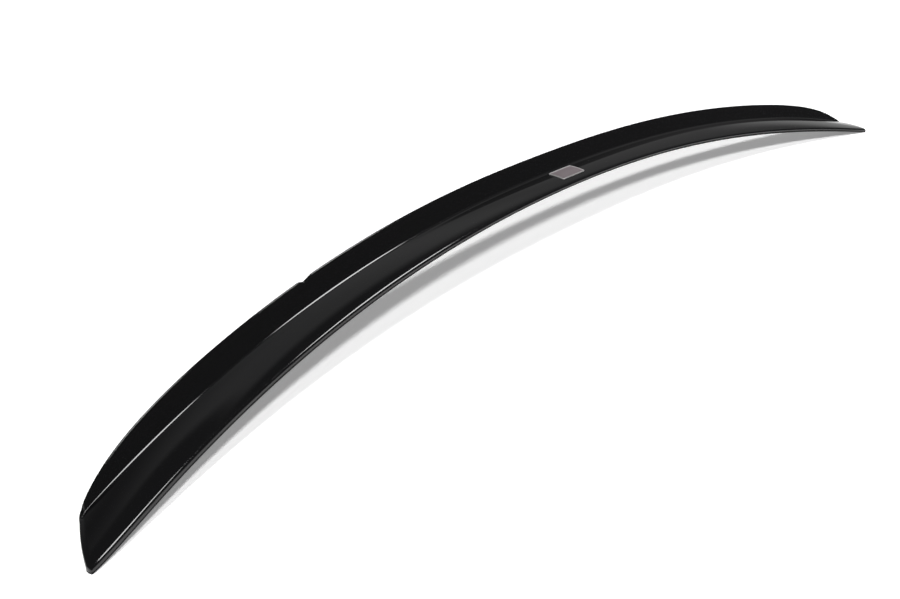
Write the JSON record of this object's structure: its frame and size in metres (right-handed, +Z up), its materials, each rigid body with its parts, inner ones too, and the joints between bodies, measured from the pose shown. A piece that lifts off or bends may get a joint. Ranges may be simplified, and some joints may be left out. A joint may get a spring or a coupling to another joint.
{
  "type": "spoiler extension",
  "caption": "Thin gloss-black boot-lid spoiler extension: a bowed and crowned strip with a ledge to bond down, an upswept rear edge and pointed ends.",
  "frame": {"origin": "lower edge of the front lip at mid-span, where the part meets the boot lid", "axes": "+X along the part, +Y from the lip towards the upswept rear edge, +Z up"},
  "size_m": [1.3348, 0.153, 0.0887],
  "materials": {
    "shell": "high-gloss black",
    "badge": "satin"
  },
  "bodies": {
    "root": {"spoiler_shell": "shell", "badge_plate": "badge"}
  },
  "joints": []
}
